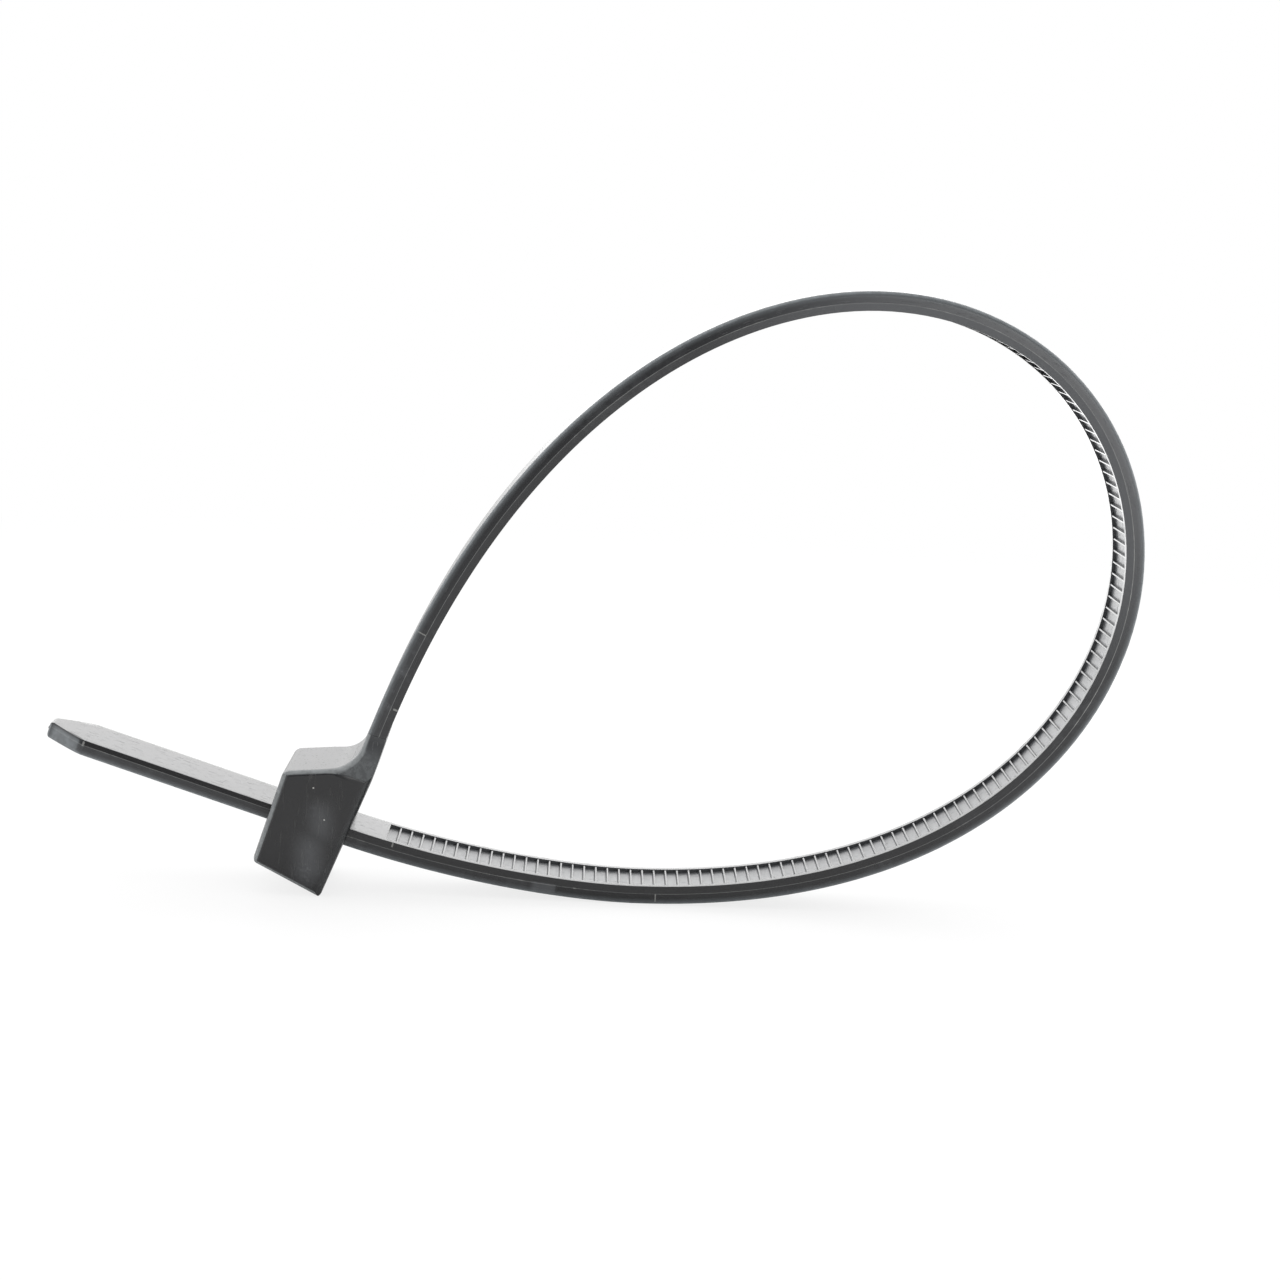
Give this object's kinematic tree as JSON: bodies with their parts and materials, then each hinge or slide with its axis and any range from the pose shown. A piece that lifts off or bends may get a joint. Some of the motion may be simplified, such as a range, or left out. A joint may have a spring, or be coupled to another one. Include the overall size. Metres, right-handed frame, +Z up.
{
  "type": "cable tie",
  "caption": "Nylon cable tie closed to a drop-shaped loop, with a toothed strap, a one-piece locking head and a short pointed tail, standing on its edge.",
  "frame": {"origin": "on the floor plane under the centre of the bounding box", "axes": "+X along the loop, away from the tail; +Y across the strap; +Z up"},
  "size_m": [0.1136, 0.0116, 0.0653],
  "materials": {
    "nylon": "black moulded nylon, satin gloss"
  },
  "bodies": {
    "root": {"cable_tie": "nylon"}
  },
  "joints": []
}
